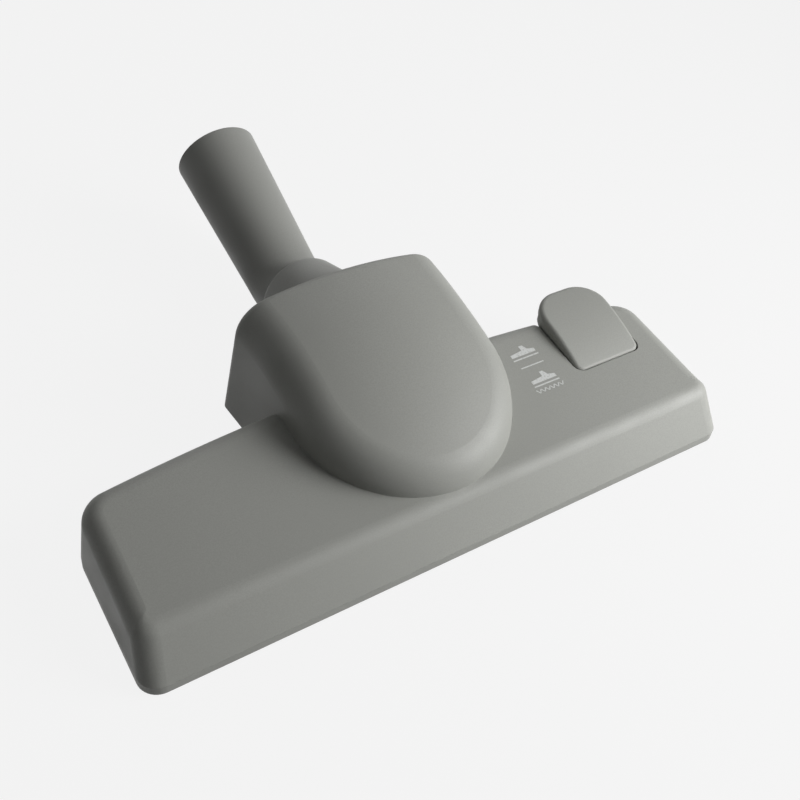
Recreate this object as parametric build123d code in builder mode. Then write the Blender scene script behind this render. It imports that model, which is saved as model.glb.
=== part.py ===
"""Floor head of a vacuum cleaner: a wide two-mode suction head on wheels with a tilting, swivelling neck.

The origin lies on the floor, under the middle of the front sole lip. +X is to the right seen from the
front, +Y to the rear (towards the tube) and +Z up. All sizes are in millimetres and degrees.
"""

import math
import os

from build123d import *

os.makedirs("parts", exist_ok=True)

# Clearances
fit_gap = 0.3
slide_gap = 0.5
run_gap = 0.05

# Sole, band by band from the front to the rear
front_lip = 12.0
brush_slot = 8.4
channel_width = 18.0
channel_height = 9.5
channel_corner = 5.0
channel_ledge = 3.0
ledge_height = 3.5
rear_lip = 12.5
lip_slot = 7.5
lip_slot_margin = 3.4
strip_depth = 6.0
sole_wall = 2.2
skirt_height = 4.5
strip_floor = 0.8
plate_floor = 3.0
mouth_half = 45.0
mouth_margin = 2.0
castle_count = 4
castle_gap = 6.0
castle_depth = 2.0
ramp_top = 15.0
ramp_end = 80.0
rib_count = 9
rib_pitch = 5.5
rib_width = 2.2
rib_front = 59.0

# Cover: wing and hump
head_width = 275.0
end_taper = 2.0
end_draft = 3.0
rear_margin = 5.0
rear_bow = 9.4
cover_wall = 2.6
rim_floor = 1.0
rim_top = 5.0
crease_back = 11.5
crease_height = 24.0
wing_rise = 7.0
front_corner_r = 8.0
rear_corner_r = 13.0
wing_edge_r = 8.0
hump_half = 50.5
hump_rear_half = 52.5
hump_nose_back = 12.0
hump_nose_length = 52.0
hump_rear = 101.0
hump_height = 62.0
hump_crown_r = 182.0
hump_draft = 6.0
hump_edge_r = 17.0
hump_rear_edge_r = 4.0
rear_lean = 5.0

# Neck, swivel and tube
neck_y = 88.0
neck_z = 31.0
neck_rest = -14.0
ball_r = 24.0
rim_r = 21.0
rim_reach = 36.0
ring_height = 3.5
ring_lip = 1.5
sleeve_r = 18.2
sleeve_foot = 9.0
passage_r = 16.0
tube_r = 17.0
tube_wall = 2.2
flange_step = 1.1
flange_height = 2.0
trunnion_r = 5.0
cheek_wall = 1.5
elbow_bend = 33.0
elbow_r = 34.0
tube_length = 72.0
socket_r = 17.6
socket_wall = 2.1
socket_depth = 38.0
hook_start = 25.0
hook_length = 42.0
hook_height = 11.5
hook_web = 5.0
hook_flange = 13.0
hook_plate = 2.6
hook_overhang = 4.0
notch_front = 85.0
tie_back = 6.0
tie_step = 1.2
tie_width = 2.8

# Air duct inside the hump
duct_half = 27.0
duct_wall = 1.8
duct_front_height = 8.5
duct_rear_height = 42.5
seat_back = 18.0
seal_width = 3.5
seal_r = 23.0

# Wheels
wheel_r = 11.0
wheel_width = 12.0
wheel_x = 38.0
wheel_y = 79.0
wheel_edge_r = 2.5
wheel_dish = 1.2
wheel_hub_r = 4.0
axle_r = 1.5
wheel_gap = 1.0
pocket_wall = 1.8
pocket_height = 14.5

# Pedal
pedal_x = 100.0
pedal_width = 36.0
pedal_front = 25.5
pedal_tip = 66.0
pedal_tip_height = 37.5
pedal_thick = 5.6
pedal_corner_r = 4.0
pedal_tip_r = 14.0
pedal_edge_r = 2.0
pedal_pivot_y = 30.5
pedal_pivot_z = 21.5
pedal_arm = 21.0
pedal_swing = 17.0
pedal_pin_r = 1.6
pedal_hub_r = 3.8
pedal_wall = 2.2
pedal_skirt = 6.0
peg_r = 1.8
arm_width = 8.0
lug_wall = 3.0

# Brush carrier, bristles, lips and springs
carrier_wall = 3.0
beam_width = 10.0
beam_thick = 2.3
beam_places = (58.0, 70.0)
bristle_length = 7.3
bristle_lift = 0.9
bristle_thick = 4.0
bristle_splay = 2.0
tuft_pitch = 6.5
tuft_gap = 0.8
lip_thick = 1.8
lip_bar_floor = 9.0
lip_foot = 0.8
post_x = 78.0
post_r = 2.2
spring_wire_r = 0.4
spring_pitch = 2.4

# Screws and lint strips
screw_x = 125.0
screw_r = 1.6
screw_length = 8.0
screw_head_r = 3.3
screw_head_height = 2.2
screw_slot = 0.9
screw_recess_r = 4.0
strip_half = 44.5
strip_width = 9.0
strip_thick = 1.2

# Places worked out from the sizes above
lip_front = -front_lip / 2
channel_front = front_lip / 2
channel_rear = channel_front + channel_width
slot_front = channel_rear + rear_lip
slot_rear = slot_front + lip_slot
plate_front = slot_rear + strip_depth
wing_corner = plate_front + rear_margin
wing_rear = wing_corner + rear_bow
front_edge = lip_front - brush_slot - cover_wall
crease_y = front_edge + crease_back
roof_tilt = math.degrees(math.atan2(wing_rise, wing_corner - crease_y))
roof_slope = math.tan(math.radians(roof_tilt))
nose_y = front_edge + hump_nose_back
nose_centre = nose_y + hump_nose_length
channel_roof = channel_height + sole_wall
plate_top = plate_floor + sole_wall
lip_mid = (channel_rear + slot_front) / 2
slot_mid = (slot_front + slot_rear) / 2
arch_half = ball_r + 3 * slide_gap
ramp_half = arch_half - 2 * slide_gap
ramp_slope = (ramp_top - plate_floor) / (ramp_end - slot_front)
brush_travel = 2 * pedal_arm * math.sin(math.radians(pedal_swing / 2))
pedal_slot_half = pedal_width / 2 + slide_gap
pedal_slot_floor = skirt_height + brush_travel
screw_y = (channel_front + channel_rear) / 2
seat_top = channel_roof + screw_head_height + sole_wall
well_half = wheel_width / 2 + wheel_gap
well_length = wheel_r + wheel_gap
axle_reach = wheel_x + well_half + pocket_wall
cheek_inner = ball_r + 8 * slide_gap
cheek_outer = wheel_x - well_half
cheek_half = trunnion_r + run_gap + cheek_wall
cheek_top = neck_z + trunnion_r + 2 * run_gap
neck_point = Vector(0, neck_y, neck_z)


def roof_height(y):
    """Height of the wing's outer roof at a place along Y."""
    return crease_height + (y - crease_y) * roof_slope


def ramp_height(y):
    """Height of the duct ramp's underside at a place along Y."""
    return plate_floor + (ramp_end - y) * ramp_slope


def direction(angle):
    """Unit vector in the YZ plane, turned up from +Y by an angle."""
    return Vector(0, math.cos(math.radians(angle)), math.sin(math.radians(angle)))


def wing_outline(half, front, corner, rear, front_r, rear_r):
    """Plan of the wing: straight front, slightly tapered ends and a bowed rear edge."""
    with BuildSketch() as plan:
        with BuildLine():
            Polyline((end_taper - half, corner), (-half, front), (half, front), (half - end_taper, corner))
            ThreePointArc((half - end_taper, corner), (0, rear), (end_taper - half, corner))
        make_face()
        fillet(plan.vertices().group_by(Axis.Y)[0], front_r)
        fillet(plan.vertices().group_by(Axis.Y)[-1], rear_r)
    return plan.sketch


def wing_plan(inset):
    """Plan of the wing at its rim, drawn inwards by an inset."""
    return wing_outline(
        head_width / 2 - inset,
        front_edge + inset,
        wing_corner - inset,
        wing_rear - inset,
        front_corner_r - inset,
        rear_corner_r - inset,
    )


def hump_plan(inset, rear):
    """Plan of the hump: a half ellipse for the nose and gently flared sides up to a place at the rear."""
    half = hump_half - inset
    flare_r = (hump_rear - nose_centre) ** 2 / (2 * (hump_rear_half - hump_half))
    rear_half = half + (rear - nose_centre) ** 2 / (2 * flare_r)
    with BuildSketch() as plan:
        with BuildLine():
            nose = hump_nose_length - inset
            EllipticalCenterArc((0, nose_centre), half, nose, start_angle=180, arc_size=180)
            TangentArc((half, nose_centre), (rear_half, rear), tangent=(0, 1))
            Line((rear_half, rear), (-rear_half, rear))
            TangentArc((-half, nose_centre), (-rear_half, rear), tangent=(0, 1))
        make_face()
    return plan.sketch


def wing_form(inset):
    """Solid of the wing, drawn inwards by an inset; its floor is left lower by the same amount."""
    tilt = math.radians(roof_tilt)
    stretch = 1 / math.cos(tilt)
    low = wing_plan(inset)
    high = wing_outline(
        head_width / 2 - end_draft - inset,
        inset * math.tan(math.radians(45 - roof_tilt)),
        (wing_corner - crease_y - inset) * stretch,
        (wing_rear - crease_y - inset) * stretch,
        front_corner_r - inset,
        rear_corner_r - inset,
    )
    roof = Plane((0, crease_y, crease_height - inset), (1, 0, 0), (0, -math.sin(tilt), math.cos(tilt)))
    with BuildPart() as form:
        with BuildSketch(Plane.XY.offset(rim_top)):
            add(low)
        with BuildSketch(roof):
            add(high)
        loft()
        with BuildSketch(Plane.XY.offset(rim_top)):
            add(low)
        extrude(amount=rim_floor - rim_top - inset)
        top = form.faces().sort_by(Axis.Z)[-1]
        fillet(top.edges(), wing_edge_r - inset)
    return form.part


def hump_form(inset, rear):
    """Solid of the hump, drawn inwards by an inset, with a crowned top and a leaning rear face."""
    beyond = hump_rear + 2 * hump_edge_r
    low = hump_plan(inset, beyond)
    high = hump_plan(inset + hump_draft, beyond)
    lean = math.degrees(math.atan2(rear_lean, hump_height))
    with BuildPart() as form:
        with BuildSketch(Plane.XY.offset(rim_floor - inset)):
            add(low)
        with BuildSketch(Plane.XY.offset(hump_height + hump_edge_r)):
            add(high)
        loft()
        with Locations((0, hump_rear - rear_lean, hump_height - hump_crown_r)):
            Sphere(hump_crown_r - inset, mode=Mode.INTERSECT)
        top = form.faces().filter_by(GeomType.SPHERE).sort_by(Axis.Z)[-1]
        fillet(top.edges().sort_by(Axis.Y)[:-1], hump_edge_r - inset)
        split(bisect_by=Plane((0, rear, 0), (1, 0, 0), direction(lean)), keep=Keep.BOTTOM)
        back = form.faces().sort_by(Axis.Y)[-1]
        fillet(back.edges().sort_by(Axis.Z)[1:], hump_rear_edge_r - inset)
    return form.part


wing_outer = wing_form(0)
wing_inner = wing_form(cover_wall)
hump_outer = hump_form(0, hump_rear)
hump_inner = hump_form(cover_wall, hump_rear - cover_wall)
hump_through = hump_form(cover_wall, hump_rear + hump_rear_edge_r)

with BuildPart() as rear_arch:
    add(hump_through)
    with Locations((0, hump_rear, 0)):
        Box(2 * arch_half, 6 * rear_lean, 3 * hump_height, mode=Mode.INTERSECT)

with BuildPart() as top_cover:
    add(wing_outer)
    add(hump_outer)
    add(wing_inner, mode=Mode.SUBTRACT)
    add(hump_inner, mode=Mode.SUBTRACT)
    add(rear_arch.part, mode=Mode.SUBTRACT)
    # Slot of the pedal, open to the rear
    with BuildSketch(Plane.XY.offset(pedal_slot_floor)) as pedal_slot:
        slot_length = wing_rear - pedal_front + 2 * slide_gap
        with Locations((pedal_x, pedal_front - slide_gap + slot_length / 2)):
            Rectangle(2 * pedal_slot_half, slot_length)
        fillet(pedal_slot.vertices().group_by(Axis.Y)[0], pedal_corner_r + slide_gap)
    extrude(amount=hump_height, mode=Mode.SUBTRACT)
    # Ears that hold the pedal's pin
    ear_top = roof_height(pedal_pivot_y) - cover_wall / 2
    ear_floor = pedal_pivot_z - 2 * pedal_pin_r
    for side in (-1, 1):
        ear_x = pedal_x + side * (pedal_slot_half + pedal_wall / 2)
        with Locations((ear_x, pedal_pivot_y, (ear_top + ear_floor) / 2)):
            Box(pedal_wall, 6 * pedal_pin_r, ear_top - ear_floor)
    with BuildSketch(Plane.YZ.offset(pedal_x)):
        with Locations((pedal_pivot_y, pedal_pivot_z)):
            Circle(pedal_pin_r + run_gap)
    extrude(amount=pedal_slot_half + 2 * pedal_wall, both=True, mode=Mode.SUBTRACT)
    # Bosses for the housing screws
    for x in (-screw_x, screw_x):
        with BuildSketch(Plane.XY.offset(seat_top)):
            with Locations((x, screw_y)):
                Circle(screw_recess_r)
                Circle(screw_r + run_gap, mode=Mode.SUBTRACT)
        extrude(amount=roof_height(screw_y) - cover_wall / 2 - seat_top)
top_cover.part.label = "top_cover"
export_step(top_cover.part, "parts/top_cover.step")

# Sole plate: one moulding with lips, suction channel, lip slots, wheel wells and the neck's cheeks
sole_inset = cover_wall + 2 * fit_gap
sole_run = head_width / 2 - end_draft - cover_wall
lip_slot_end = head_width / 2 - end_taper - cover_wall - lip_slot_margin
end_width = head_width - 2 * lip_slot_end
lip_slot_start = ramp_half + sole_wall
castle_pitch = (lip_slot_end - lip_slot_start) / castle_count
castle_mid = (lip_slot_end + lip_slot_start) / 2

with BuildSketch() as sole_plan:
    add(wing_plan(sole_inset))
    add(hump_plan(sole_inset, hump_rear - sole_inset))
    fillet(sole_plan.vertices().group_by(Axis.Y)[-1], hump_rear_edge_r)

with BuildPart() as sole_plate:
    # Front and rear lips with the suction channel between them
    with BuildSketch(Plane.YZ) as section:
        with BuildLine():
            Polyline(
                (lip_front, skirt_height),
                (lip_front, 0),
                (channel_front, 0),
                (channel_front, channel_height),
                (channel_rear - channel_ledge, channel_height),
                (channel_rear - channel_ledge, ledge_height),
                (channel_rear, ledge_height),
                (channel_rear, 0),
                (slot_front, 0),
                (slot_front, skirt_height),
                (slot_front - sole_wall, skirt_height),
                (slot_front - sole_wall, sole_wall),
                (channel_rear + sole_wall, sole_wall),
                (channel_rear + sole_wall, channel_roof),
                (channel_front - sole_wall, channel_roof),
                (channel_front - sole_wall, sole_wall),
                (lip_front + sole_wall, sole_wall),
                (lip_front + sole_wall, skirt_height),
                close=True,
            )
        make_face()
        trough = section.vertices().filter_by(lambda v: abs(v.Y - channel_height) < run_gap)
        fillet(trough, channel_corner)
    extrude(amount=sole_run, both=True)
    # Rear plate with a sloped strip behind the lip slot
    with BuildSketch(Plane.YZ):
        with BuildLine():
            Polyline(
                (slot_rear, strip_floor),
                (plate_front, plate_floor),
                (hump_rear, plate_floor),
                (hump_rear, plate_top),
                (slot_rear, plate_top),
                close=True,
            )
        make_face()
    extrude(amount=head_width / 2, both=True)
    for side in (-1, 1):
        # End wall of the channel, flange against the rim and bridge at the end of the lip slot
        with Locations((side * (sole_run - sole_wall / 2), screw_y, channel_roof / 2)):
            Box(sole_wall, channel_width + sole_wall, channel_roof)
        with Locations((side * head_width / 2, (lip_front + slot_rear) / 2, rim_floor + sole_wall / 2)):
            Box(end_width, slot_rear - lip_front, sole_wall)
        with Locations((side * head_width / 2, slot_mid, (strip_floor + skirt_height) / 2)):
            Box(end_width, lip_slot + 2 * sole_wall, skirt_height - strip_floor)
    with BuildSketch(Plane.XY.offset(-rim_floor)):
        add(sole_plan.sketch)
    extrude(amount=hump_height, mode=Mode.INTERSECT)
    # Castellated rear edge of the lip slot
    for side in (-1, 1):
        with Locations((side * castle_mid, slot_rear, plate_floor)):
            with GridLocations(castle_pitch, 1, castle_count, 1):
                Box(castle_pitch - castle_gap, 2 * castle_depth, 4 * plate_floor, mode=Mode.SUBTRACT)
    # Ramp of the air duct between the lip slots, with gusset ribs under it
    with BuildSketch(Plane.YZ):
        with BuildLine():
            Polyline(
                (slot_front - sole_wall, strip_floor),
                (slot_front - sole_wall, ramp_top + sole_wall),
                (slot_front, ramp_top + sole_wall),
                (ramp_end, plate_top),
                (ramp_end, plate_floor),
                (plate_front, plate_floor),
                (slot_rear, strip_floor),
                close=True,
            )
        make_face()
    extrude(amount=ramp_half + sole_wall, both=True)
    with BuildSketch(Plane.YZ):
        with BuildLine():
            Polyline(
                (slot_front, -rim_floor),
                (slot_front, ramp_top),
                (ramp_end, plate_floor),
                (ramp_end, -rim_floor),
                close=True,
            )
        make_face()
    extrude(amount=ramp_half, both=True, mode=Mode.SUBTRACT)
    for index in range(rib_count):
        rib_x = (index - (rib_count - 1) / 2) * rib_pitch
        with BuildSketch(Plane.YZ.offset(rib_x)):
            with BuildLine():
                Polyline(
                    (rib_front, plate_floor),
                    (rib_front, ramp_height(rib_front) + sole_wall / 2),
                    (ramp_end, plate_floor + sole_wall / 2),
                    (ramp_end, plate_floor),
                    close=True,
                )
            make_face()
        extrude(amount=rib_width / 2, both=True)
    # Notch for the neck, tied together by two short bars
    with Locations((0, (notch_front + hump_rear) / 2, plate_floor)):
        Box(2 * arch_half, hump_rear - notch_front, 4 * plate_floor, mode=Mode.SUBTRACT)
    for side in (-1, 1):
        tie_y = notch_front + tie_back + side * tie_step
        with Locations((side * arch_half / 2, tie_y, plate_floor + sole_wall / 2)):
            Box(arch_half + 2 * tie_step, tie_width, sole_wall)
    # Wheel wells with slots for the axles, and the cheeks that carry the neck
    for side in (-1, 1):
        with BuildSketch(Plane.XY.offset(plate_floor)):
            with Locations((side * wheel_x, wheel_y)):
                Rectangle(2 * (well_half + pocket_wall), 2 * (well_length + pocket_wall))
        extrude(amount=pocket_height - plate_floor)
        cheek_x = side * (cheek_inner + cheek_outer) / 2
        with Locations((cheek_x, neck_y, (plate_floor + cheek_top) / 2)):
            Box(cheek_outer - cheek_inner, 2 * cheek_half, cheek_top - plate_floor)
        with Locations((side * wheel_x, wheel_y, 0)):
            Box(2 * well_half, 2 * well_length, 4 * pocket_height, mode=Mode.SUBTRACT)
        with BuildSketch(Plane.YZ.offset(side * cheek_inner)):
            with Locations((wheel_y, wheel_r)):
                Circle(axle_r + run_gap)
            with Locations((wheel_y, wheel_r / 2)):
                Rectangle(2 * (axle_r + run_gap), wheel_r)
        extrude(amount=side * (axle_reach + fit_gap - cheek_inner), mode=Mode.SUBTRACT)
    with BuildSketch(Plane.YZ):
        with Locations((neck_y, neck_z)):
            Circle(trunnion_r + run_gap)
        with Locations((neck_y, neck_z + cheek_top / 2)):
            Rectangle(2 * (trunnion_r + run_gap), cheek_top)
    extrude(amount=cheek_outer, both=True, mode=Mode.SUBTRACT)
    # Suction mouth in the channel's roof
    mouth_depth = channel_width - channel_ledge - 2 * mouth_margin
    with BuildSketch(Plane.XY.offset(channel_height / 2)):
        with Locations((0, channel_front + mouth_margin + mouth_depth / 2)):
            RectangleRounded(2 * mouth_half, mouth_depth, channel_corner)
    extrude(amount=channel_roof, mode=Mode.SUBTRACT)
    # Seats of the housing screws
    for x in (-screw_x, screw_x):
        with BuildSketch(Plane.XY.offset(channel_height)):
            with Locations((x, screw_y)):
                Circle(screw_recess_r + sole_wall)
        extrude(amount=seat_top - channel_height)
        with BuildSketch(Plane.XY.offset(channel_height / 2)):
            with Locations((x, screw_y)):
                Circle(screw_recess_r)
        extrude(amount=seat_top - sole_wall - channel_height / 2, mode=Mode.SUBTRACT)
        with Locations((x, screw_y, seat_top)):
            Cylinder(screw_r + fit_gap, 4 * sole_wall, mode=Mode.SUBTRACT)
    # Guide posts of the brush carrier
    for x in (-post_x, post_x):
        with BuildSketch(Plane.XY.offset(sole_wall / 2)):
            with Locations((x, 0)):
                Circle(post_r)
        extrude(amount=roof_height(0) - cover_wall - sole_wall)
    # Shallow beds of the lint strips
    for y in (0, lip_mid):
        with Locations((0, y, strip_thick / 2)):
            Box(2 * (strip_half + run_gap), strip_width + 2 * run_gap, strip_thick, mode=Mode.SUBTRACT)
sole_plate.part.label = "sole_plate"
export_step(sole_plate.part, "parts/sole_plate.step")

# Air duct: a wide hood over the mouth that narrows into a channel up to the neck's ball
hood_floor = channel_roof
hood_front = channel_front - sole_wall + fit_gap
hood_half = mouth_half + mouth_margin + duct_wall
hood_top = hood_floor + duct_front_height
seat_y = neck_y - seat_back


def duct_form(inset, rear):
    """Solid of the duct, drawn inwards by an inset, up to a place at the rear."""
    with BuildPart() as form:
        with BuildSketch(Plane.XY.offset(hood_floor)):
            with Locations((0, (hood_front + channel_rear) / 2)):
                Rectangle(2 * (hood_half - inset), channel_rear - hood_front - 2 * inset)
        extrude(amount=duct_front_height - inset)
        with BuildSketch(Plane.YZ):
            with BuildLine():
                Polyline(
                    (channel_rear - inset, hood_floor + 2 * inset),
                    (slot_front - sole_wall - inset, ramp_top + sole_wall + inset),
                    (slot_front, ramp_top + sole_wall + inset),
                    (rear, ramp_height(rear) + sole_wall + inset + run_gap),
                    (rear, hood_floor + duct_rear_height - inset),
                    (screw_y, hood_top - inset),
                    (screw_y, hood_floor + 2 * inset),
                    close=True,
                )
            make_face()
        extrude(amount=duct_half - inset, both=True)
    return form.part


duct_outer = duct_form(0, seat_y + duct_wall)
duct_inner = duct_form(duct_wall, seat_y)

with BuildPart() as air_duct:
    add(duct_outer)
    add(duct_inner, mode=Mode.SUBTRACT)
    with BuildSketch(Plane.XY.offset(hood_floor)):
        with Locations((0, channel_front + mouth_margin + mouth_depth / 2)):
            RectangleRounded(2 * mouth_half, mouth_depth, channel_corner)
    extrude(amount=2 * duct_wall, mode=Mode.SUBTRACT)
    with Locations(neck_point):
        Sphere(ball_r + fit_gap, mode=Mode.SUBTRACT)
air_duct.part.label = "air_duct"
export_step(air_duct.part, "parts/air_duct.step")

with BuildPart() as duct_seal:
    with BuildSketch(Plane.XZ.offset(-seat_y - duct_wall)):
        with Locations((0, neck_z)):
            Circle(seal_r)
    extrude(amount=-seal_width)
    with Locations(neck_point):
        Sphere(ball_r + fit_gap, mode=Mode.SUBTRACT)
duct_seal.part.label = "duct_seal"
export_step(duct_seal.part, "parts/duct_seal.step")

# Brush carrier: a front bar for the bristles, beams over the channel and two rear bars for the lips
brush_end = lip_slot_end - slide_gap
slope_run = crease_back / (crease_height - rim_top)
slope_shift = cover_wall * math.sqrt(1 + slope_run**2)
carrier_top = skirt_height + brush_travel + slide_gap + carrier_wall
holder_floor = bristle_lift + bristle_length
bar_rear = channel_front - sole_wall - slide_gap
bar_front_rear = lip_front - slide_gap
beam_floor = channel_roof + brush_travel + slide_gap
lip_bar_front = slot_front + slide_gap
lip_bar_rear = slot_rear - slide_gap
lip_bar_start = lip_slot_start + 2 * slide_gap
peg_y = pedal_pivot_y + pedal_arm * math.cos(math.radians(pedal_swing / 2))
peg_z = pedal_pivot_z + brush_travel / 2
lug_top = peg_z + 2 * peg_r
lug_floor = plate_top + brush_travel + slide_gap
lug_x = arm_width / 2 + slide_gap + lug_wall / 2


def slope_inside(z):
    """Place along Y where the carrier clears the inside of the cover's front slope at a height."""
    return front_edge + slope_shift + slope_run * (z - rim_top) + slide_gap


with BuildPart() as brush_carrier:
    with BuildSketch(Plane.YZ):
        with BuildLine():
            Polyline(
                (slope_inside(holder_floor), holder_floor),
                (slope_inside(carrier_top), carrier_top),
                (bar_rear, carrier_top),
                (bar_rear, carrier_top - carrier_wall),
                (bar_front_rear, carrier_top - carrier_wall),
                (bar_front_rear, holder_floor),
                close=True,
            )
        make_face()
    extrude(amount=brush_end, both=True)
    for side in (-1, 1):
        bar_length = brush_end - lip_bar_start
        bar_x = side * (lip_bar_start + bar_length / 2)
        with Locations((bar_x, slot_mid, lip_bar_floor + carrier_wall / 2)):
            Box(bar_length, lip_bar_rear - lip_bar_front, carrier_wall)
        for place in beam_places:
            with BuildSketch(Plane.YZ.offset(side * place)):
                with BuildLine():
                    Polyline(
                        (bar_rear - carrier_wall, carrier_top - carrier_wall / 2),
                        (bar_rear - carrier_wall, beam_floor + beam_thick),
                        (lip_bar_front + carrier_wall, beam_floor + beam_thick),
                        (lip_bar_front + carrier_wall, lip_bar_floor + carrier_wall / 2),
                        (lip_bar_front, lip_bar_floor + carrier_wall / 2),
                        (lip_bar_front, beam_floor),
                        (bar_rear, beam_floor),
                        (bar_rear, carrier_top - carrier_wall / 2),
                        close=True,
                    )
                make_face()
            extrude(amount=beam_width / 2, both=True)
    # Slotted lugs that the pedal's peg moves up and down
    for side in (-1, 1):
        with BuildSketch(Plane.YZ.offset(pedal_x + side * lug_x)):
            with BuildLine():
                Polyline(
                    (lip_bar_front, lip_bar_floor + carrier_wall / 2),
                    (lip_bar_rear, lip_bar_floor + carrier_wall / 2),
                    (lip_bar_rear, lug_floor),
                    (peg_y + 2 * peg_r, lug_floor),
                    (peg_y + 2 * peg_r, lug_top),
                    (peg_y - 2 * peg_r, lug_top),
                    close=True,
                )
            make_face()
            with Locations((peg_y, peg_z)):
                SlotCenterToCenter(2 * slide_gap, 2 * (peg_r + run_gap), mode=Mode.SUBTRACT)
        extrude(amount=lug_wall / 2, both=True)
    # Holes for the guide posts
    for x in (-post_x, post_x):
        with Locations((x, 0, carrier_top)):
            Cylinder(post_r + fit_gap, 4 * carrier_wall, mode=Mode.SUBTRACT)
brush_carrier.part.label = "brush_carrier"
export_step(brush_carrier.part, "parts/brush_carrier.step")

# Bristles: one strip of tufts, splayed towards the front
bristle_rear = bar_front_rear - slide_gap
bristle_front = bristle_rear - bristle_thick
tuft_count = int(2 * brush_end / tuft_pitch)
with BuildPart() as front_bristles:
    with BuildSketch(Plane.YZ):
        with BuildLine():
            Polyline(
                (bristle_front, holder_floor),
                (bristle_rear, holder_floor),
                (bristle_rear, bristle_lift),
                (bristle_front - bristle_splay, bristle_lift),
                close=True,
            )
        make_face()
    extrude(amount=brush_end, both=True)
    with Locations((0, bristle_rear - bristle_thick, bristle_lift)):
        with GridLocations(tuft_pitch, 1, tuft_count, 1):
            Box(tuft_gap, 4 * bristle_thick, bristle_length, mode=Mode.SUBTRACT)
front_bristles.part.label = "front_bristles"
export_step(front_bristles.part, "parts/front_bristles.step")

# Rubber lips behind the channel
for side, hand in ((-1, "left"), (1, "right")):
    with BuildPart() as rear_lip_blade:
        with BuildSketch(Plane.XZ.offset(-slot_mid)):
            lip_length = brush_end - lip_bar_start
            lip_height = lip_bar_floor - lip_foot
            with Locations((side * (lip_bar_start + lip_length / 2), lip_foot + lip_height / 2)):
                Rectangle(lip_length, lip_height)
        extrude(amount=lip_thick / 2, both=True)
    rear_lip_blade.part.label = f"rear_lip_{hand}"
    export_step(rear_lip_blade.part, f"parts/rear_lip_{hand}.step")

# Lift springs on the guide posts
for side, hand in ((-1, "left"), (1, "right")):
    spring_r = post_r + fit_gap + spring_wire_r
    spring_floor = sole_wall + spring_wire_r
    spring_height = carrier_top - carrier_wall - spring_floor - spring_wire_r
    with BuildPart() as lift_spring:
        with BuildLine() as coil:
            Helix(spring_pitch, spring_height, spring_r, center=(side * post_x, 0, spring_floor))
        with BuildSketch(Plane(coil.line @ 0, (1, 0, 0), coil.line % 0)):
            RegularPolygon(spring_wire_r, 6)
        sweep(is_frenet=True)
    lift_spring.part.label = f"lift_spring_{hand}"
    export_step(lift_spring.part, f"parts/lift_spring_{hand}.step")

# Lint strips: short velour pads with one round and one square end
for y, turn, place in ((0, -1, "front"), (lip_mid, 1, "rear")):
    with BuildPart() as lint_strip:
        with BuildSketch() as pad:
            with Locations((0, y)):
                Rectangle(2 * strip_half, strip_width)
            fillet(pad.vertices().sort_by(Axis.X, reverse=turn > 0)[:2], strip_width / 2 - run_gap)
        extrude(amount=strip_thick)
    lint_strip.part.label = f"{place}_lint_strip"
    export_step(lint_strip.part, f"parts/{place}_lint_strip.step")

# Pedal: a hollow tongue on a cross pin, with an arm and a peg that drive the brush carrier
pedal_front_top = roof_height(pedal_front)
skirt_rear = wing_corner - cover_wall - slide_gap
pad_rise = (pedal_tip_height - pedal_front_top) / (pedal_tip - pedal_front)


def pad_height(y):
    """Height of the pedal's top face at a place along Y."""
    return pedal_front_top + (y - pedal_front) * pad_rise


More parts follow.
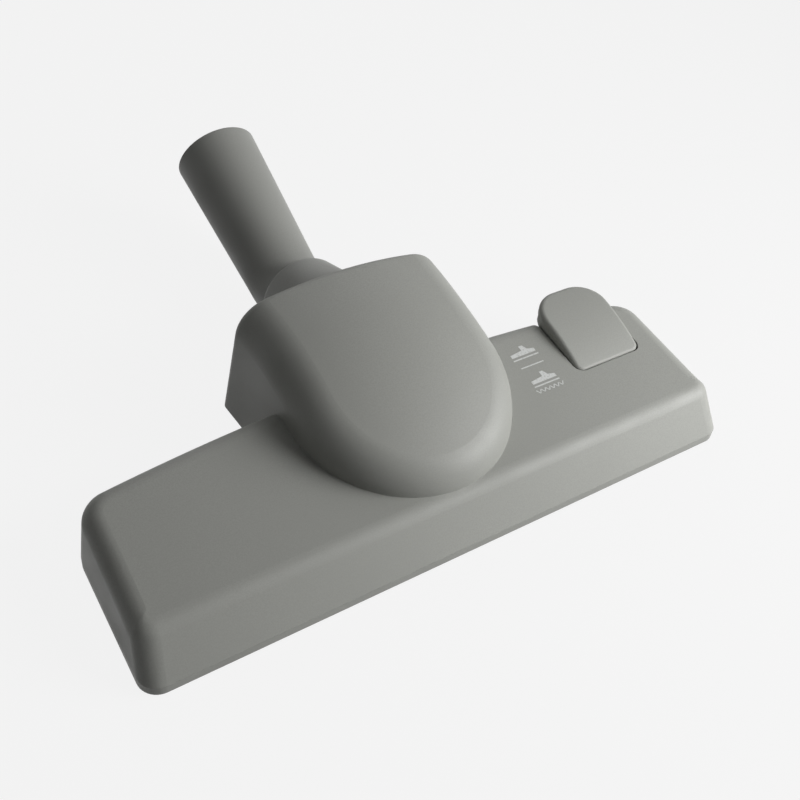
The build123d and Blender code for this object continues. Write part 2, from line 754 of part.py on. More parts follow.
with BuildPart() as foot_pedal:
    with BuildSketch(Plane.XY) as tongue:
        with Locations((pedal_x, (pedal_front + pedal_tip) / 2)):
            Rectangle(pedal_width, pedal_tip - pedal_front)
        fillet(tongue.vertices().group_by(Axis.Y)[0], pedal_corner_r)
        fillet(tongue.vertices().group_by(Axis.Y)[-1], pedal_tip_r)
    extrude(amount=2 * pedal_tip_height)
    with BuildSketch(Plane.YZ.offset(pedal_x)):
        with BuildLine():
            crown = (pedal_front + pedal_tip) / 2
            ThreePointArc(
                (pedal_front, pedal_front_top),
                (crown, pad_height(crown) + pedal_edge_r),
                (pedal_tip, pedal_tip_height),
            )
            Polyline(
                (pedal_tip, pedal_tip_height),
                (pedal_tip, pedal_tip_height - pedal_thick),
                (skirt_rear, pad_height(skirt_rear) - pedal_thick),
                (skirt_rear, pad_height(skirt_rear) - pedal_thick - pedal_skirt),
                (pedal_front, pedal_pivot_z),
                (pedal_front, pedal_front_top),
            )
        make_face()
    extrude(amount=pedal_width, both=True, mode=Mode.INTERSECT)
    top_face = foot_pedal.faces().filter_by(GeomType.CYLINDER).sort_by(SortBy.AREA)[-1]
    fillet(top_face.edges().sort_by(Axis.Y)[1:], pedal_edge_r)
    # Hollow between the skirts
    with BuildSketch(Plane.YZ.offset(pedal_x)):
        with BuildLine():
            hollow_front = pedal_pivot_y + pedal_hub_r
            Polyline(
                (hollow_front, 0),
                (hollow_front, pad_height(hollow_front) - pedal_thick + pedal_edge_r),
                (pedal_tip - pedal_wall, pedal_tip_height - pedal_thick + pedal_edge_r),
                (pedal_tip - pedal_wall, 0),
                close=True,
            )
        make_face()
    extrude(amount=pedal_width / 2 - pedal_wall, both=True, mode=Mode.SUBTRACT)
    # Hub, arm and peg
    with BuildSketch(Plane.YZ.offset(pedal_x)):
        with Locations((pedal_pivot_y, pedal_pivot_z)):
            Circle(pedal_hub_r)
    extrude(amount=pedal_width / 2, both=True)
    with BuildSketch(Plane.YZ.offset(pedal_x)):
        with BuildLine():
            Polyline(
                (pedal_pivot_y, pedal_pivot_z - pedal_hub_r / 2),
                (peg_y, peg_z - peg_r),
                (peg_y, pad_height(peg_y) - pedal_thick / 2),
                (pedal_pivot_y, pad_height(pedal_pivot_y) - pedal_thick / 2),
                close=True,
            )
        make_face()
        with Locations((peg_y, peg_z)):
            Circle(peg_r)
    extrude(amount=arm_width / 2, both=True)
    with BuildSketch(Plane.YZ.offset(pedal_x)):
        with Locations((peg_y, peg_z)):
            Circle(peg_r)
    extrude(amount=lug_x + lug_wall / 2, both=True)
    with BuildSketch(Plane.YZ.offset(pedal_x)):
        with Locations((pedal_pivot_y, pedal_pivot_z)):
            Circle(pedal_pin_r + run_gap)
    extrude(amount=pedal_width, both=True, mode=Mode.SUBTRACT)
foot_pedal.part.label = "foot_pedal"
export_step(foot_pedal.part, "parts/foot_pedal.step")

with BuildPart() as pedal_pin:
    with BuildSketch(Plane.YZ.offset(pedal_x)):
        with Locations((pedal_pivot_y, pedal_pivot_z)):
            Circle(pedal_pin_r)
    extrude(amount=pedal_slot_half + pedal_wall, both=True)
pedal_pin.part.label = "pedal_pin"
export_step(pedal_pin.part, "parts/pedal_pin.step")

# Wheels, axles and bearing caps, one of each on both sides
for side, hand in ((-1, "left"), (1, "right")):
    with BuildPart() as wheel:
        with BuildSketch(Plane.XY.offset(wheel_r)) as wheel_section:
            with Locations((side * wheel_x, wheel_y + (axle_r + run_gap + wheel_r) / 2)):
                Rectangle(wheel_width, wheel_r - axle_r - run_gap)
            fillet(wheel_section.vertices().group_by(Axis.Y)[-1], wheel_edge_r)
            dish_height = wheel_r - wheel_edge_r - wheel_hub_r
            for face in (-1, 1):
                dish_x = side * wheel_x + face * (wheel_width - wheel_dish) / 2
                with Locations((dish_x, wheel_y + wheel_hub_r + dish_height / 2)):
                    Rectangle(wheel_dish, dish_height, mode=Mode.SUBTRACT)
        revolve(axis=Axis((0, wheel_y, wheel_r), (1, 0, 0)))
    wheel.part.label = f"wheel_{hand}"
    export_step(wheel.part, f"parts/wheel_{hand}.step")

    with BuildPart() as wheel_axle:
        with BuildSketch(Plane.YZ.offset(side * (cheek_inner + fit_gap))):
            with Locations((wheel_y, wheel_r)):
                Circle(axle_r)
        extrude(amount=side * (axle_reach - cheek_inner - fit_gap))
    wheel_axle.part.label = f"wheel_axle_{hand}"
    export_step(wheel_axle.part, f"parts/wheel_axle_{hand}.step")

    with BuildPart() as bearing_cap:
        with BuildSketch(Plane.YZ.offset(side * (cheek_inner + cheek_outer) / 2)):
            with Locations((neck_y, (neck_z + cheek_top) / 2)):
                Rectangle(2 * trunnion_r, cheek_top - neck_z)
            with Locations((neck_y, cheek_top + cheek_wall / 2)):
                Rectangle(2 * cheek_half, cheek_wall)
            with Locations((neck_y, neck_z)):
                Circle(trunnion_r + run_gap, mode=Mode.SUBTRACT)
        extrude(amount=(cheek_outer - cheek_inner) / 2, both=True)
    bearing_cap.part.label = f"bearing_cap_{hand}"
    export_step(bearing_cap.part, f"parts/bearing_cap_{hand}.step")

# Housing screws, driven up from the suction channel
with BuildPart() as housing_screws:
    for x in (-screw_x, screw_x):
        head_floor = seat_top - sole_wall - screw_head_height
        with BuildSketch(Plane.XY.offset(head_floor)):
            with Locations((x, screw_y)):
                Circle(screw_head_r)
        extrude(amount=screw_head_height)
        with BuildSketch(Plane.XY.offset(head_floor)):
            with Locations((x, screw_y)):
                Rectangle(screw_head_r, screw_slot)
                Rectangle(screw_slot, screw_head_r)
        extrude(amount=screw_head_height / 2, mode=Mode.SUBTRACT)
        with BuildSketch(Plane.XY.offset(seat_top - sole_wall)):
            with Locations((x, screw_y)):
                Circle(screw_r)
        extrude(amount=screw_length)
housing_screws.part.label = "housing_screws"
export_step(housing_screws.part, "parts/housing_screws.step")

# Neck collar: a ball on two trunnions that runs out into a tapered collar
neck_axis = direction(neck_rest)
neck_up = direction(neck_rest + 90)
neck_line = Axis(neck_point, neck_axis)
neck_section = Plane(neck_point, (1, 0, 0), neck_up)
counterbore = rim_reach - ring_height - flange_height - 2 * fit_gap
flange_r = sleeve_r + flange_step
with BuildPart() as neck_collar:
    with Locations(neck_point):
        Sphere(ball_r)
    with BuildSketch(neck_section):
        with BuildLine():
            Polyline((0, 0), (ball_r, 0), (rim_r, rim_reach), (0, rim_reach), close=True)
        make_face()
    revolve(axis=neck_line)
    with BuildSketch(Plane.YZ):
        with Locations((neck_y, neck_z)):
            Circle(trunnion_r)
    extrude(amount=cheek_outer - fit_gap, both=True)
    with BuildSketch(neck_section):
        with BuildLine():
            Polyline(
                (0, -2 * ball_r),
                (passage_r, -2 * ball_r),
                (passage_r, sleeve_foot - fit_gap),
                (sleeve_r + run_gap, sleeve_foot - fit_gap),
                (sleeve_r + run_gap, counterbore),
                (flange_r + run_gap, counterbore),
                (flange_r + run_gap, 2 * rim_reach),
                (0, 2 * rim_reach),
                close=True,
            )
        make_face()
    revolve(axis=neck_line, mode=Mode.SUBTRACT)
neck_collar.part.label = "neck_collar"
export_step(neck_collar.part, "parts/neck_collar.step")

# Locking ring in the collar's rim, over the elbow's flange
with BuildPart() as collar_ring:
    with BuildSketch(neck_section):
        with BuildLine():
            Polyline(
                (tube_r + fit_gap, rim_reach - ring_height),
                (flange_r, rim_reach - ring_height),
                (flange_r, rim_reach),
                (rim_r, rim_reach),
                (rim_r - ring_lip / 2, rim_reach + ring_lip),
                (tube_r + fit_gap, rim_reach + ring_lip),
                close=True,
            )
        make_face()
    revolve(axis=neck_line)
collar_ring.part.label = "collar_ring"
export_step(collar_ring.part, "parts/collar_ring.step")

# Elbow tube: a sleeve in the collar, a bend and a tapered tube with the wand socket and a parking hook
bend_start = rim_reach + 2 * ring_lip
bend_point = neck_point + neck_axis * bend_start
bend_centre = bend_point + neck_up * elbow_r
tube_angle = neck_rest + elbow_bend
tube_axis = direction(tube_angle)
tube_up = direction(tube_angle + 90)
tube_point = bend_centre - tube_up * elbow_r
tube_line = Axis(tube_point, tube_axis)
tube_section = Plane(tube_point, (1, 0, 0), tube_up)
tube_end_r = socket_r + socket_wall
bore_r = tube_r - tube_wall
bend_line = Axis(bend_centre, (1, 0, 0))
with BuildPart() as elbow_tube:
    with BuildSketch(neck_section):
        with BuildLine():
            Polyline(
                (0, sleeve_foot),
                (sleeve_r, sleeve_foot),
                (sleeve_r, counterbore + fit_gap),
                (flange_r - fit_gap, counterbore + fit_gap),
                (flange_r - fit_gap, counterbore + fit_gap + flange_height),
                (tube_r, counterbore + fit_gap + flange_height),
                (tube_r, bend_start),
                (0, bend_start),
                close=True,
            )
        make_face()
    revolve(axis=neck_line)
    with BuildSketch(Plane(bend_point, (1, 0, 0), neck_axis)):
        Circle(tube_r)
    revolve(axis=bend_line, revolution_arc=elbow_bend)
    with BuildSketch(tube_section):
        with BuildLine():
            Polyline((0, 0), (tube_r, 0), (tube_end_r, tube_length), (0, tube_length), close=True)
        make_face()
    revolve(axis=tube_line)
    # Parking hook under the tube
    hook_plane = Plane(tube_point, tube_axis, (1, 0, 0))
    hook_foot = tube_r + hook_height
    with BuildSketch(hook_plane):
        with BuildLine():
            Polyline(
                (hook_start, -bore_r),
                (hook_start, -hook_foot),
                (hook_start + hook_length, -hook_foot),
                (hook_start + hook_length, -bore_r),
                close=True,
            )
        make_face()
    extrude(amount=hook_web / 2, both=True)
    with BuildSketch(hook_plane):
        with Locations((hook_start + (hook_length + hook_overhang) / 2, hook_plate / 2 - hook_foot)):
            Rectangle(hook_length + hook_overhang, hook_plate)
    extrude(amount=hook_flange / 2, both=True)
    # Air passage from end to end, with the wand socket at the far end
    with BuildSketch(neck_section):
        with BuildLine():
            Polyline((0, 0), (bore_r, 0), (bore_r, bend_start), (0, bend_start), close=True)
        make_face()
    revolve(axis=neck_line, mode=Mode.SUBTRACT)
    with BuildSketch(Plane(bend_point, (1, 0, 0), neck_axis)):
        Circle(bore_r)
    revolve(axis=bend_line, revolution_arc=elbow_bend, mode=Mode.SUBTRACT)
    with BuildSketch(tube_section):
        with BuildLine():
            Polyline(
                (0, 0),
                (bore_r, 0),
                (bore_r, tube_length - socket_depth),
                (socket_r, tube_length - socket_depth),
                (socket_r, tube_length),
                (0, tube_length),
                close=True,
            )
        make_face()
    revolve(axis=tube_line, mode=Mode.SUBTRACT)
elbow_tube.part.label = "elbow_tube"
export_step(elbow_tube.part, "parts/elbow_tube.step")
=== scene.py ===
import math
import random

import bpy
from mathutils import Matrix, Vector


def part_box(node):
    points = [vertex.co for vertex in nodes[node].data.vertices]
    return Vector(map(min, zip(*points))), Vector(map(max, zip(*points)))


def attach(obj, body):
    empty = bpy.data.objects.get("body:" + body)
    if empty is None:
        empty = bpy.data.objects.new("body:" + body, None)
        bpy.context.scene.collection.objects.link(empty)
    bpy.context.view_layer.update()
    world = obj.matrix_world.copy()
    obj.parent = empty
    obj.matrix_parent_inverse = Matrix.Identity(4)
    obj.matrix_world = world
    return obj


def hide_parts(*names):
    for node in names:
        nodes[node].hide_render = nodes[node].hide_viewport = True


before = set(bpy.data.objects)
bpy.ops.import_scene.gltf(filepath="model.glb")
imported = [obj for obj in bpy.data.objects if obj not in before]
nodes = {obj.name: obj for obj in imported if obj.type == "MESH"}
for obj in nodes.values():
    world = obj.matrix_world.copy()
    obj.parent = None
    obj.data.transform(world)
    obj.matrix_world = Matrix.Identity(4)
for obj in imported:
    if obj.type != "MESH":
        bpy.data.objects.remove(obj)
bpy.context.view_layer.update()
scene = bpy.context.scene
MM = 0.001
SEED = 7
rng = random.Random(SEED)

# Camera: place and turn of the photograph's upper view, in metres and degrees
VIEW_AZIMUTH = -38.485
VIEW_ELEVATION = 44.752
VIEW_ROLL = 8.587
VIEW_DISTANCE = 0.4403
VIEW_TARGET = Vector((0.0011, 0.0445, 0.0293))
SENSOR = 36.0
LENS = 48.3

# Tones of the moulded plastic, linear
COVER_TONE = (0.318, 0.322, 0.300)
SOLE_TONE = (0.308, 0.312, 0.292)
NECK_TONE = (0.300, 0.303, 0.284)
WHEEL_TONE = (0.285, 0.288, 0.270)

# Tones of the other materials, linear
RUBBER_TONE = (0.012, 0.012, 0.012)
RUBBER_DUST = (0.035, 0.034, 0.032)
BRIGHT_STEEL_TONE = (0.68, 0.68, 0.67)
DARK_STEEL_TONE = (0.07, 0.07, 0.07)
NYLON_TONE = (0.006, 0.006, 0.006)
NYLON_THIN = (0.03, 0.028, 0.025)
FRONT_VELOUR_TONE = (0.46, 0.012, 0.05)
# The rear pad is the same crimson velour as the front one, darkened here as painted shade
REAR_VELOUR_SHADED_TONE = (0.25, 0.006, 0.03)
VELOUR_SHEEN = (1.0, 0.25, 0.3, 1.0)
INK_TONE = (0.62, 0.63, 0.62)

# Scales of the noise in the materials, in features per metre
FLOW_SCALE = 14.0
SPECKLE_SCALE = 1900.0
SCUFF_SCALE = 260.0
GLOSS_SCALE = 45.0
GRAIN_SCALE = 1500.0
DUST_SCALE = 180.0
RUBBER_GRAIN_SCALE = 900.0
DRAWN_LINE_SCALE = 5200.0
HAIR_SHADE_SCALE = 700.0
FIBRE_SCALE = 2600.0
PATCH_SCALE = 150.0
INK_WEAR_SCALE = 1400.0

# Relief of the materials, in metres
WORN_EDGE = 0.45 * MM
GRAIN_DEPTH = 0.08 * MM
RUBBER_GRAIN_DEPTH = 0.1 * MM


def add_node(tree, kind, inputs=None, **settings):
    """Adds a shader node; an input takes a plain value or another node's output."""
    made = tree.nodes.new(kind)
    for name, value in settings.items():
        setattr(made, name, value)
    for name, value in (inputs or {}).items():
        if isinstance(value, bpy.types.NodeSocket):
            tree.links.new(value, made.inputs[name])
        else:
            made.inputs[name].default_value = value
    return made


def new_material(name):
    """A material with an empty principled shader: the material, its tree and the shader."""
    material = bpy.data.materials.new(name)
    material.use_nodes = True
    tree = material.node_tree
    return material, tree, tree.nodes["Principled BSDF"]


def noise(tree, place, scale, detail=2.0, roughness=0.5):
    """Noise with features of about 1 / scale metres."""
    inputs = {"Vector": place, "Scale": scale, "Detail": detail, "Roughness": roughness}
    return add_node(tree, "ShaderNodeTexNoise", inputs).outputs["Fac"]


def remap(tree, value, low, high, to_low, to_high):
    """Maps a value from one range to another."""
    inputs = {"Value": value, "From Min": low, "From Max": high}
    inputs.update({"To Min": to_low, "To Max": to_high})
    return add_node(tree, "ShaderNodeMapRange", inputs).outputs["Result"]


def mix_colours(tree, factor, first, second):
    """Mixes two colours by a factor; each is a plain colour or a socket."""
    made = add_node(tree, "ShaderNodeMix", {"Factor": factor}, data_type="RGBA")
    for index, colour in ((6, first), (7, second)):
        if isinstance(colour, bpy.types.NodeSocket):
            tree.links.new(colour, made.inputs[index])
        else:
            made.inputs[index].default_value = (*colour, 1.0)
    return made.outputs[2]


def shade(colour, factor):
    """A colour made lighter or darker by a factor."""
    return tuple(channel * factor for channel in colour)


def place_of(tree):
    """Coordinates fixed to the piece, in metres."""
    return add_node(tree, "ShaderNodeTexCoord").outputs["Object"]


def moulded_plastic(name, tone, grain=0.10, rough=(0.44, 0.58), wear=0.35):
    """Grained grey moulding: fine spark-eroded texture, faint flow shade and rubbed edges."""
    material, tree, shader = new_material(name)
    place = place_of(tree)
    flow = remap(tree, noise(tree, place, FLOW_SCALE, 3.0), 0.35, 0.65, 0.0, 1.0)
    speckle = remap(tree, noise(tree, place, SPECKLE_SCALE, 1.0), 0.35, 0.65, 0.0, 1.0)
    base = mix_colours(tree, flow, shade(tone, 0.965), shade(tone, 1.03))
    base = mix_colours(tree, speckle, base, shade(tone, 0.93))
    bevel = add_node(tree, "ShaderNodeBevel", {"Radius": WORN_EDGE}, samples=4)
    surface = add_node(tree, "ShaderNodeNewGeometry").outputs["Normal"]
    normals = {0: bevel.outputs["Normal"], 1: surface}
    turn = add_node(tree, "ShaderNodeVectorMath", normals, operation="DOT_PRODUCT")
    edge = remap(tree, turn.outputs["Value"], 0.97, 0.80, 0.0, 1.0)
    scuff = remap(tree, noise(tree, place, SCUFF_SCALE, 3.0), 0.45, 0.62, 0.0, wear)
    worn = add_node(tree, "ShaderNodeMath", {0: edge, 1: scuff}, operation="MULTIPLY")
    colour = mix_colours(tree, worn.outputs["Value"], base, shade(tone, 1.35))
    tree.links.new(colour, shader.inputs["Base Color"])
    gloss = remap(tree, noise(tree, place, GLOSS_SCALE, 3.0), 0.3, 0.7, *rough)
    tree.links.new(gloss, shader.inputs["Roughness"])
    relief = noise(tree, place, GRAIN_SCALE, 2.0, 0.6)
    bump_inputs = {"Height": relief, "Strength": grain, "Distance": GRAIN_DEPTH}
    bump_inputs["Normal"] = bevel.outputs["Normal"]
    bump = add_node(tree, "ShaderNodeBump", bump_inputs)
    tree.links.new(bump.outputs["Normal"], shader.inputs["Normal"])
    shader.inputs["Specular IOR Level"].default_value = 0.38
    return material


def black_rubber(name):
    """Soft black rubber with a dusty mottle."""
    material, tree, shader = new_material(name)
    place = place_of(tree)
    dust = remap(tree, noise(tree, place, DUST_SCALE, 4.0), 0.42, 0.68, 0.0, 1.0)
    colour = mix_colours(tree, dust, RUBBER_TONE, RUBBER_DUST)
    tree.links.new(colour, shader.inputs["Base Color"])
    tree.links.new(remap(tree, dust, 0.0, 1.0, 0.45, 0.72), shader.inputs["Roughness"])
    relief = noise(tree, place, RUBBER_GRAIN_SCALE, 2.0)
    bump_inputs = {"Height": relief, "Strength": 0.12, "Distance": RUBBER_GRAIN_DEPTH}
    bump = add_node(tree, "ShaderNodeBump", bump_inputs)
    tree.links.new(bump.outputs["Normal"], shader.inputs["Normal"])
    return material


def drawn_steel(name, tone, rough):
    """Bright wire and pins with fine lines drawn along X."""
    material, tree, shader = new_material(name)
    mapping = {"Vector": place_of(tree), "Scale": (0.06, 1.0, 1.0)}
    stretch = add_node(tree, "ShaderNodeMapping", mapping)
    lines = noise(tree, stretch.outputs["Vector"], DRAWN_LINE_SCALE, 2.0)
    colour = mix_colours(tree, lines, shade(tone, 0.82), tone)
    tree.links.new(colour, shader.inputs["Base Color"])
    gloss = remap(tree, lines, 0.3, 0.7, rough * 0.8, rough * 1.25)
    tree.links.new(gloss, shader.inputs["Roughness"])
    shader.inputs["Metallic"].default_value = 1.0
    return material


def nylon_bristle(name):
    """Black nylon hairs, a little brown where they thin out."""
    material, tree, shader = new_material(name)
    hair = noise(tree, place_of(tree), HAIR_SHADE_SCALE, 1.0)
    colour = mix_colours(tree, hair, NYLON_TONE, NYLON_THIN)
    tree.links.new(colour, shader.inputs["Base Color"])
    tree.links.new(remap(tree, hair, 0.3, 0.7, 0.32, 0.5), shader.inputs["Roughness"])
    return material


def velour(name, tone):
    """Crimson pile: colour varies from fibre to fibre, with a soft sheen."""
    material, tree, shader = new_material(name)
    place = place_of(tree)
    fibre = remap(tree, noise(tree, place, FIBRE_SCALE, 1.0), 0.3, 0.7, 0.0, 1.0)
    patch = remap(tree, noise(tree, place, PATCH_SCALE, 3.0), 0.35, 0.65, 0.0, 1.0)
    pile = mix_colours(tree, fibre, shade(tone, 0.55), shade(tone, 1.35))
    tree.links.new(mix_colours(tree, patch, pile, tone), shader.inputs["Base Color"])
    shader.inputs["Roughness"].default_value = 0.85
    shader.inputs["Sheen Weight"].default_value = 0.45
    shader.inputs["Sheen Roughness"].default_value = 0.4
    shader.inputs["Sheen Tint"].default_value = VELOUR_SHEEN
    return material


def marking_paint(name):
    """Pale pad-printed ink, slightly worn through."""
    material, tree, shader = new_material(name)
    patches = noise(tree, place_of(tree), INK_WEAR_SCALE, 3.0)
    wear = remap(tree, patches, 0.52, 0.7, 0.0, 0.6)
    colour = mix_colours(tree, wear, INK_TONE, COVER_TONE)
    tree.links.new(colour, shader.inputs["Base Color"])
    tree.links.new(remap(tree, wear, 0.0, 0.6, 0.38, 0.55), shader.inputs["Roughness"])
    return material


cover_plastic = moulded_plastic("cover_plastic", COVER_TONE)
sole_plastic = moulded_plastic(
    "sole_plastic", SOLE_TONE, grain=0.06, rough=(0.38, 0.5), wear=0.5
)
neck_plastic = moulded_plastic("neck_plastic", NECK_TONE, grain=0.08, rough=(0.42, 0.54))
wheel_plastic = moulded_plastic(
    "wheel_plastic", WHEEL_TONE, grain=0.04, rough=(0.3, 0.45), wear=0.7
)
rubber = black_rubber("rubber")
bright_steel = drawn_steel("bright_steel", BRIGHT_STEEL_TONE, 0.24)
dark_steel = drawn_steel("dark_steel", DARK_STEEL_TONE, 0.4)
bristle_nylon = nylon_bristle("bristle_nylon")
front_velour = velour("front_velour", FRONT_VELOUR_TONE)
# the rear pad takes the darker tone, which is painted shade on the same velour
rear_velour = velour("rear_velour", REAR_VELOUR_SHADED_TONE)
ink = marking_paint("ink")

finishes = {
    cover_plastic: ("top_cover", "foot_pedal"),
    sole_plastic: (
        "sole_plate",
        "air_duct",
        "brush_carrier",
        "bearing_cap_left",
        "bearing_cap_right",
    ),
    neck_plastic: ("neck_collar", "collar_ring", "elbow_tube"),
    wheel_plastic: ("wheel_left", "wheel_right"),
    rubber: ("duct_seal", "rear_lip_left", "rear_lip_right"),
    bright_steel: (
        "pedal_pin",
        "lift_spring_left",
        "lift_spring_right",
        "wheel_axle_left",
        "wheel_axle_right",
    ),
    dark_steel: ("housing_screws",),
    bristle_nylon: ("front_bristles",),
    front_velour: ("front_lint_strip",),
    rear_velour: ("rear_lint_strip",),
}
for material, names in finishes.items():
    for name in names:
        nodes[name].data.materials.clear()
        nodes[name].data.materials.append(material)


def new_piece(name, vertices, faces, material, body):
    """A mesh piece that rides on a CAD body."""
    mesh = bpy.data.meshes.new(name)
    mesh.from_pydata(vertices, [], faces)
    mesh.validate()
    mesh.update()
    mesh.materials.append(material)
    piece = bpy.data.objects.new(name, mesh)
    scene.collection.objects.link(piece)
    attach(piece, body)
    return piece


def strand(vertices, faces, points, radii):
    """Adds a three-sided tapering strand along a few points to both lists."""
    first = len(vertices)
    sides = 3
    for point, radius in zip(points, radii):
        for side in range(sides):
            turn = 2 * math.pi * side / sides
            offset = Vector((math.cos(turn), math.sin(turn), 0)) * radius
            vertices.append(point + offset)
    for level in range(len(points) - 1):
        for side in range(sides):
            low = first + level * sides
            a, b = low + side, low + (side + 1) % sides
            faces.append((a, b, b + sides, a + sides))
    top = first + (len(points) - 1) * sides
    faces.append((first, first + 2, first + 1))
    faces.append((top, top + 1, top + 2))


def scattered(low, high):
    """A random value between two limits."""
    return low + (high - low) * rng.random()


# Bristles: tufts of separate nylon hairs in place of the plain comb
low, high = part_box("front_bristles")
TUFTS = 40
HAIRS_PER_TUFT = 75
TUFT_FILL = 0.86
HAIR_RADIUS = 0.13 * MM
HAIR_TAPER = 0.6
HAIR_BOW = 0.25
ROOT_DEPTH = 4.0 * MM
TUFT_LEAN = 2.0 * MM
TUFT_FAN = 0.9 * MM
TIP_STRAY_X = 0.35 * MM
TIP_STRAY_FRONT = 0.3 * MM
TIP_STRAY_BACK = 0.1 * MM
TIP_RAGGED = 0.7 * MM
HAIR_RADII = (HAIR_RADIUS, HAIR_RADIUS, HAIR_TAPER * HAIR_RADIUS)
hair_vertices, hair_faces = [], []
tuft_pitch = (high.x - low.x) / TUFTS
for tuft in range(TUFTS):
    centre_x = low.x + (tuft + 0.5) * tuft_pitch
    for _ in range(HAIRS_PER_TUFT):
        across = scattered(-0.5, 0.5)
        along = scattered(-0.5, 0.5)
        root_x = centre_x + across * tuft_pitch * TUFT_FILL
        root = Vector((root_x, high.y - ROOT_DEPTH * (0.5 - along), high.z))
        lean = (0.5 - along) * TUFT_LEAN
        tip_x = root.x + across * TUFT_FAN + scattered(-TIP_STRAY_X, TIP_STRAY_X)
        tip_y = root.y - lean + scattered(-TIP_STRAY_FRONT, TIP_STRAY_BACK)
        tip = Vector((tip_x, tip_y, low.z + scattered(0.0, TIP_RAGGED)))
        tip.y = min(max(tip.y, low.y + HAIR_RADIUS), high.y - HAIR_RADIUS)
        middle = root.lerp(tip, 0.5) + Vector((0, HAIR_BOW * lean, 0))
        strand(hair_vertices, hair_faces, (root, middle, tip), HAIR_RADII)
bristles = new_piece(
    "bristle_hairs", hair_vertices, hair_faces, bristle_nylon, "brush"
)
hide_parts("front_bristles")

# Velour: a slanted pile of short fibres on a thin backing, in the outline of each pad
PILE_PITCH = 0.36 * MM
PILE_JITTER = 0.4
BACKING = 0.45 * MM
FIBRE_SINK = 0.05 * MM
FIBRE_LEAN = 0.5 * MM
FIBRE_LEAN_SHARES = (0.6, 1.2)
FIBRE_SWAY = 0.15 * MM
FIBRE_RADII = (0.16 * MM, 0.06 * MM)
ROUND_INSET = 0.2 * MM
for place, inward, material in (("front", 1, front_velour), ("rear", -1, rear_velour)):
    node = nodes[f"{place}_lint_strip"]
    low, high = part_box(node.name)
    round_x = low.x if inward > 0 else high.x
    half = (high.y - low.y) / 2
    vertices = [Vector(v.co) for v in node.data.vertices]
    for vertex in vertices:
        vertex.z = max(vertex.z, high.z - BACKING)
    faces = [tuple(p.vertices) for p in node.data.polygons]
    columns = int((high.x - low.x) / PILE_PITCH)
    rows = int((high.y - low.y) / PILE_PITCH)
    for column in range(columns):
        for row in range(rows):
            x = low.x + (column + 0.5 + scattered(-PILE_JITTER, PILE_JITTER)) * PILE_PITCH
            y = low.y + (row + 0.5 + scattered(-PILE_JITTER, PILE_JITTER)) * PILE_PITCH
            beyond = (round_x + inward * half - x) * inward
            if beyond > 0 and math.hypot(beyond, y - low.y - half) > half - ROUND_INSET:
                continue
            root = Vector((x, y, high.z - BACKING + FIBRE_SINK))
            tip_x = x + inward * FIBRE_LEAN * scattered(*FIBRE_LEAN_SHARES)
            tip = Vector((tip_x, y + scattered(-FIBRE_SWAY, FIBRE_SWAY), low.z))
            tip.x = min(max(tip.x, low.x), high.x)
            strand(vertices, faces, (root, tip), FIBRE_RADII)
    pile = new_piece(f"{place}_lint_pile", vertices, faces, material, "head")
    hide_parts(node.name)

# Markings beside the pedal: two generic floor signs with a line between them
INK_LIFT = 0.04 * MM
MARK_X = 64.8 * MM
ABOVE_ALL = 0.2
DOWN = Vector((0, 0, -1))
cover = nodes["top_cover"]

# Sizes of the signs in plan, in millimetres
HARD_FLOOR_Y = 43.4
CARPET_Y = 27.8
GROUND_DROP = 1.5
GROUND_WIDTH = 13.5
GROUND_HEIGHT = 0.7
DIVIDER_Y = 37.2
DIVIDER_WIDTH = 12.2
DIVIDER_HEIGHT = 0.6
PILE_Y = 23.6
PILE_STROKES = 12
PILE_SLANT = 0.6
PILE_WIDTH = 0.6
PILE_HEIGHT = 2.0


def on_cover(x, y):
    """The point just above the cover's roof at a place in plan."""
    _, point, normal, _ = cover.ray_cast(Vector((x, y, ABOVE_ALL)), DOWN)
    return point + normal * INK_LIFT


def printed(name, shapes):
    """A printed sign made of flat shapes, each a list of corners in plan."""
    vertices, faces = [], []
    for shape in shapes:
        first = len(vertices)
        vertices.extend(on_cover(x * MM + MARK_X, y * MM) for x, y in shape)
        faces.append(tuple(range(first, first + len(shape))))
    new_piece(name, vertices, faces, ink, "head")


def bar(x, y, width, height, slant=0.0):
    """A rectangle by its middle and its size, or a slanted stroke."""
    return [
        (x - width / 2 - slant, y - height / 2),
        (x + width / 2 - slant, y - height / 2),
        (x + width / 2 + slant, y + height / 2),
        (x - width / 2 + slant, y + height / 2),
    ]


TOOL_OUTLINE = (
    (-6.4, 0.0),
    (6.4, 0.0),
    (6.4, 1.7),
    (3.2, 2.5),
    (2.0, 5.0),
    (0.2, 5.0),
    (0.2, 2.5),
    (-6.4, 1.7),
)


def tool_on_ground(y):
    """A small floor head with a stub of a tube, and the line of the floor under it."""
    tool = [(x, y + up) for x, up in TOOL_OUTLINE]
    return [tool, bar(0, y - GROUND_DROP, GROUND_WIDTH, GROUND_HEIGHT)]


carpet = tool_on_ground(CARPET_Y)
for step in range(PILE_STROKES):
    stroke_x = 2 * PILE_SLANT * (step - (PILE_STROKES - 1) / 2)
    slant = PILE_SLANT if step % 2 else -PILE_SLANT
    carpet.append(bar(stroke_x, PILE_Y, PILE_WIDTH, PILE_HEIGHT, slant))
printed("hard_floor_sign", tool_on_ground(HARD_FLOOR_Y))
printed("carpet_sign", carpet)
printed("sign_divider", [bar(0, DIVIDER_Y, DIVIDER_WIDTH, DIVIDER_HEIGHT)])

# Floor and room: white to the camera and in reflections, dimmer as light sources,
# so that the shaded side stays dark
FLOOR_REACH = 6.0
FLOOR_Z = -0.3 * MM
FLOOR_TONE = (0.36, 0.36, 0.36, 1)
FLOOR_WHITE = 0.87
ROOM_LIGHT = 0.06
ROOM_WHITE = 0.875
WHITE = (1, 1, 1, 1)


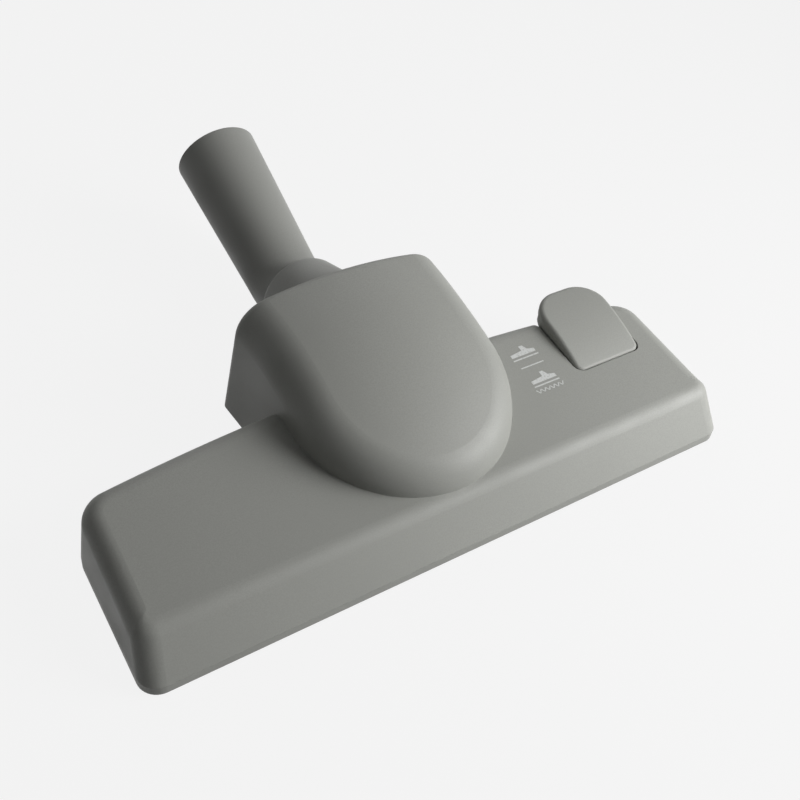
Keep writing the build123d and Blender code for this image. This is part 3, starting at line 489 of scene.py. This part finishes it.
def white_when_seen(tree, share):
    """A share for rays from the camera, reflections and clear parts, 0 for the rest."""
    path = add_node(tree, "ShaderNodeLightPath")
    seen = path.outputs["Is Camera Ray"]
    for kind in ("Is Glossy Ray", "Is Transmission Ray"):
        either = {0: seen, 1: path.outputs[kind]}
        seen = add_node(tree, "ShaderNodeMath", either, operation="MAXIMUM").outputs["Value"]
    part = add_node(tree, "ShaderNodeMath", {0: seen, 1: share}, operation="MULTIPLY")
    return part.outputs["Value"]


mesh = bpy.data.meshes.new("floor")
floor_sides = ((-1, -1), (1, -1), (1, 1), (-1, 1))
corners = [(x * FLOOR_REACH, y * FLOOR_REACH, FLOOR_Z) for x, y in floor_sides]
mesh.from_pydata(corners, [], [(0, 1, 2, 3)])
floor = bpy.data.objects.new("floor", mesh)
scene.collection.objects.link(floor)
material, tree, shader = new_material("floor")
shader.inputs["Base Color"].default_value = FLOOR_TONE
shader.inputs["Roughness"].default_value = 0.9
shader.inputs["Specular IOR Level"].default_value = 0.1
glow = add_node(tree, "ShaderNodeEmission", {"Color": WHITE, "Strength": 1.0})
lit_and_seen = {1: shader.outputs["BSDF"], 2: glow.outputs["Emission"]}
lit_and_seen[0] = white_when_seen(tree, FLOOR_WHITE)
blend = add_node(tree, "ShaderNodeMixShader", lit_and_seen)
tree.links.new(blend.outputs["Shader"], tree.nodes["Material Output"].inputs["Surface"])
mesh.materials.append(material)

world = bpy.data.worlds.new("room")
world.use_nodes = True
tree = world.node_tree
background = tree.nodes["Background"]
background.inputs["Color"].default_value = WHITE
strength = remap(tree, white_when_seen(tree, 1.0), 0.0, 1.0, ROOM_LIGHT, ROOM_WHITE)
tree.links.new(strength, background.inputs["Strength"])
scene.world = world


# Light: one large soft lamp low on the right, and a weak fill from behind
def lamp(name, place, aim, size, power, spread):
    """A square area lamp aimed at a point, not seen by the camera."""
    data = bpy.data.lights.new(name, "AREA")
    data.size = size
    data.spread = math.radians(spread)
    data.energy = power
    made = bpy.data.objects.new(name, data)
    made.location = place
    made.rotation_euler = (Vector(aim) - Vector(place)).to_track_quat("-Z", "Y").to_euler()
    made.visible_camera = False
    scene.collection.objects.link(made)


lamp(
    "key",
    place=(0.44, -0.29, 0.29),
    aim=(0.02, 0.04, 0.02),
    size=0.42,
    power=2.3,
    spread=120,
)
lamp(
    "rear_fill",
    place=(0.25, 0.8, 0.55),
    aim=(0, 0.06, 0.03),
    size=0.8,
    power=1.5,
    spread=180,
)

# Camera at the photograph's viewing angle
azimuth = math.radians(VIEW_AZIMUTH)
elevation = math.radians(VIEW_ELEVATION)
roll = math.radians(VIEW_ROLL)
flat = math.cos(elevation)
back = Vector((math.sin(azimuth) * flat, -math.cos(azimuth) * flat, math.sin(elevation)))
right = Vector((math.cos(azimuth), math.sin(azimuth), 0))
up = back.cross(right)
rolled_right = right * math.cos(roll) + up * math.sin(roll)
rolled_up = up * math.cos(roll) - right * math.sin(roll)
camera_data = bpy.data.cameras.new("camera")
camera_data.sensor_width = SENSOR
camera_data.lens = LENS
camera = bpy.data.objects.new("camera", camera_data)
turn = Matrix((rolled_right, rolled_up, back)).transposed().to_4x4()
camera.matrix_world = Matrix.Translation(VIEW_TARGET + back * VIEW_DISTANCE) @ turn
scene.collection.objects.link(camera)
scene.camera = camera

scene.view_settings.view_transform = "Standard"
